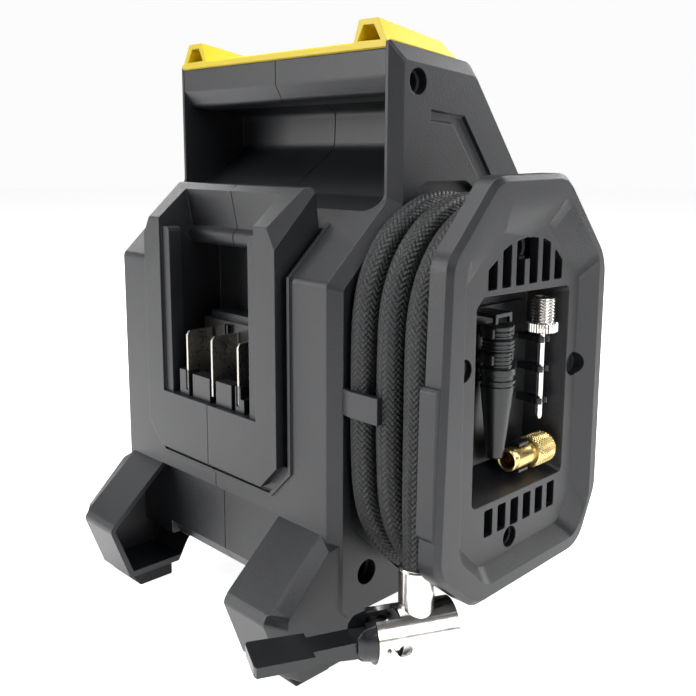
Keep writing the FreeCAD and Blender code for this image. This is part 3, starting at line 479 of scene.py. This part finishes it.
studio = {"floorHalf": 4, "floorGlow": 0.82, "paperRadius": 3.9, "paperHeight": 7.6, "paperGlow": 0.97}


# the paper wall is seen by the camera only
def addStage():
    bm = bmesh.new()
    bmesh.ops.create_grid(bm, x_segments=2, y_segments=2, size=studio["floorHalf"])
    floor = bpy.data.objects.new("floor", fromBmesh("floor", bm))
    f = Finish("studioFloor", {"Specular IOR Level": 0.1, "Emission Color": (1, 1, 1, 1),
                               "Emission Strength": studio["floorGlow"]})
    cloud = f.noise(3, 2)
    f.feed("Base Color", f.blendColour(cloud, (0.93, 0.93, 0.93), (0.95, 0.95, 0.95)))
    f.feed("Roughness", cloud * 0.1 + 0.6)
    floor.data.materials.append(f.material)
    bm = bmesh.new()
    bmesh.ops.create_cone(bm, segments=96, radius1=studio["paperRadius"], radius2=studio["paperRadius"],
                          depth=studio["paperHeight"])
    for v in bm.verts:
        v.co.z += studio["paperHeight"] / 2 - 0.01
    wall = bpy.data.objects.new("paperWall", fromBmesh("paperWall", bm))
    f = Finish("studioPaper", {"Emission Strength": studio["paperGlow"], "Specular IOR Level": 0.0})
    cloud = f.noise(0.6, 2)
    f.feed("Base Color", f.blendColour(cloud, (0.02, 0.02, 0.02), (0.03, 0.03, 0.03)))
    f.feed("Emission Color", f.blendColour(cloud, (1.0, 1.0, 1.0), (0.99, 0.99, 0.99)))
    wall.data.materials.append(f.material)
    for ray in ("diffuse", "glossy", "transmission", "volume_scatter", "shadow"):
        setattr(wall, "visible_" + ray, False)
    floor.visible_diffuse = False
    for piece in (floor, wall):
        bpy.context.collection.objects.link(piece)


addStage()

# bevel widths in millimetres
softEdges = {"housing_left": 0.45, "housing_right": 0.45, "top_cover": 0.4, "hose_reel": 0.5,
             "terminal_block": 0.25, "terminal_blades": 0.12, "chuck_lever": 0.4, "chuck_cap": 0.3,
             "chuck_barrel": 0.22, "accessory_tray": 0.15, "control_panel": 0.3, "rubber_feet": 0.4,
             "work_light": 0.3, "power_button": 0.3, "minus_button": 0.3, "plus_button": 0.3,
             "mode_button": 0.3, "hose_ferrule": 0.2, "chuck_pin": 0.15}
for node, width in softEdges.items():
    softened(node, width / 1000)
print("edges softened")

needle = {"x": 86.6, "y": 23.0, "pitch": 0.92}


def needleShape(r, angle, t):
    if 105.8 < t < 113.3 and r > 3:
        turnPart = (t / needle["pitch"] + angle / (2 * math.pi)) % 1
        return 3.42 + 0.46 * (1 - abs(2 * turnPart - 1))
    if 102.8 < t < 105.6 and r > 4:
        return 4.5 + 0.2 * math.cos(34 * angle)
    return r


def addNeedle(n):
    threads = [(3.6, 105.9 + 0.115 * i) for i in range(64)]
    shaft = [(0.0, 75.2), (0.6, 75.3), (1.0, 75.9), (1.05, 76.6), (1.05, 102.0), (1.9, 102.45)]
    collar = [(4.2, 102.6), (4.6, 102.9), (4.6, 104.0), (4.6, 105.4), (4.2, 105.75), (3.4, 105.85)]
    airway = [(3.2, 113.4), (2.4, 113.4), (2.2, 113.1), (2.2, 108.0), (0, 108.0)]
    profile = shaft + collar + threads + airway
    piece = lathe("ballNeedle", profile, (n["x"], n["y"], 0), (0, 0, 1), 102, "needle", "nickel_plate",
                  needleShape)
    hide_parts("ball_needle")


knurl = {"start": 11.3, "end": 19.5, "count": 28, "pitch": 0.98}


def adapterShape(r, angle, t):
    if knurl["start"] < t < knurl["end"] and r > 4:
        a = angle * knurl["count"] / (2 * math.pi)
        b = (t - knurl["start"]) / knurl["pitch"]
        first = abs(2 * ((a + b) % 1) - 1)
        second = abs(2 * ((a - b) % 1) - 1)
        return 4.45 + 0.42 * min(1.0, 1.5 * min(first, second) + 0.1)
    return r


def addAdapter():
    barrel = [(0, 14.0), (2.6, 14.0), (2.6, 0.3), (2.85, 0.0), (3.2, 0.0), (3.45, 0.35), (3.45, 2.0),
              (3.3, 2.3), (3.45, 2.6), (3.45, 9.4), (3.1, 9.8), (3.1, 10.5), (4.3, 10.8)]
    grip = [(4.7, 11.2 + 0.16 * i) for i in range(53)]
    profile = barrel + grip + [(4.3, 20.1), (3.8, 20.5), (2.0, 20.5), (1.8, 20.0), (0, 20.0)]
    piece = lathe("valveAdapter", profile, (86.6, 6.6, 65.7), (0, 1, 0), 168, "adapter", "brass",
                  adapterShape)
    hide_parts("presta_adapter")


def addTaperedNozzle():
    ribs = []
    for i in range(9):
        z = 95.0 + 1.2 * i
        crest = 4.68 if 99.0 < z < 103.0 else 4.08
        ribs += [(crest - 0.4, z), (crest, z + 0.14), (crest, z + 0.62), (crest - 0.4, z + 0.78)]
    cone = [(0, 68.4), (1.4, 68.4), (1.4, 67.4), (1.7, 67.2), (2.2, 67.2), (2.5, 67.6), (4.95, 89.2)]
    collars = [(4.6, 89.45), (4.6, 90.15), (5.25, 90.3), (5.25, 91.1), (4.6, 91.25), (4.6, 92.5),
               (5.15, 92.7), (5.15, 94.3), (4.9, 94.55), (4.05, 94.6)]
    profile = cone + collars + ribs + [(4.05, 106.0), (4.05, 106.7), (3.7, 106.95), (0, 106.95)]
    piece = lathe("taperedNozzle", profile, (84.8, 3.4, 0), (0, 0, 1), 56, "nozzle", "dark_plastic")
    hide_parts("tapered_nozzle")


panel = {"middle": (0.0, 44.8, 160.5), "tilt": -50.88, "capTop": 1.8, "moduleTop": -1.8,
         "buttons": {"power": (-28.0, 13.6), "minus": (-9.5, 13.6), "plus": (6.5, 13.6),
                     "mode": (26.0, 13.6)},
         "markSink": 0.05, "markHeight": 0.1}
inks = {"pale": softRubber("paleInk", (0.50, 0.50, 0.50), (0.62, 0.62, 0.62), 0.55),
        "dark": softRubber("darkInk", (0.008, 0.009, 0.009), (0.014, 0.015, 0.015), 0.45)}


# flat panel places are x across, y down the slope and z outward
def panelMatrix():
    turn = Matrix.Rotation(math.radians(panel["tilt"]), 4, "X")
    return Matrix.Translation(at(*panel["middle"])) @ turn @ Matrix.Scale(0.001, 4)


def panelMark(name, bars, rings, low, high, body, slot, ink):
    bm = bmesh.new()
    for x, y, wide, tall in bars:
        size = Matrix.Diagonal((wide, tall, high - low, 1))
        bmesh.ops.create_cube(bm, size=1, matrix=Matrix.Translation((x, y, (low + high) / 2)) @ size)
    for x, y, r, stroke, gap in rings:
        steps = 40
        for k in range(steps):
            a = 2 * math.pi * (k + 0.5) / steps
            if abs(math.remainder(a + math.pi / 2, 2 * math.pi)) < gap:
                continue
            spin = Matrix.Translation((x, y, (low + high) / 2)) @ Matrix.Rotation(a, 4, "Z")
            size = Matrix.Diagonal((stroke, 2.04 * math.pi * r / steps, high - low, 1))
            bmesh.ops.create_cube(bm, size=1, matrix=spin @ Matrix.Translation((r, 0, 0)) @ size)
    bmesh.ops.transform(bm, matrix=panelMatrix(), verts=bm.verts[:])
    return newPiece(name, fromBmesh(name, bm), body, slot, 30, inks[ink])


def digit(lit, x, y, wide=5.6, tall=11.0, stroke=1.1):
    half = wide / 2
    across = {"a": -tall / 2, "g": 0.0, "d": tall / 2}
    upright = {"f": (half, -tall / 4), "b": (-half, -tall / 4), "e": (half, tall / 4), "c": (-half, tall / 4)}
    bars = [(x, y + dy, wide - stroke * 0.8, stroke) for key, dy in across.items() if key in lit]
    return bars + [(x + dx, y + dy, stroke, tall / 2 - stroke * 0.8)
                   for key, (dx, dy) in upright.items() if key in lit]


# bars are x, y, width and height; rings are x, y, radius, stroke and gap
buttonMarks = {"power": ([(0, -1.7, 0.5, 2.2)], [(0, 0, 2.0, 0.5, 0.55)], "power_rubber", "dark"),
               "minus": ([(0, 0, 3.4, 0.6)], [], "button_rubber", "pale"),
               "plus": ([(0, 0, 3.4, 0.6), (0, 0, 0.6, 3.4)], [], "button_rubber", "pale"),
               "mode": ([], [(0, 0, 1.7, 0.5, 0.0)], "button_rubber", "pale")}


def addPanelMarks():
    top, rise = panel["capTop"], panel["markHeight"]
    for button, (bars, rings, slot, ink) in buttonMarks.items():
        x, y = panel["buttons"][button]
        placed = [[(x + m[0], y + m[1], *m[2:]) for m in marks] for marks in (bars, rings)]
        panelMark(button + "Mark", *placed, top - panel["markSink"], top + rise, button, slot, ink)
    low = panel["moduleTop"] + 0.02
    digits = digit("abcdg", 9.0, -7.8) + digit("acdfg", 0.0, -7.8) + digit("abcdef", -9.0, -7.8)
    panelMark("displayMarks", digits, [], low, low + rise, "base", "display_glass", "dark")


addPanelMarks()
addNeedle(needle)
addAdapter()
addTaperedNozzle()
print("stored nozzles made")

print("scene ready")
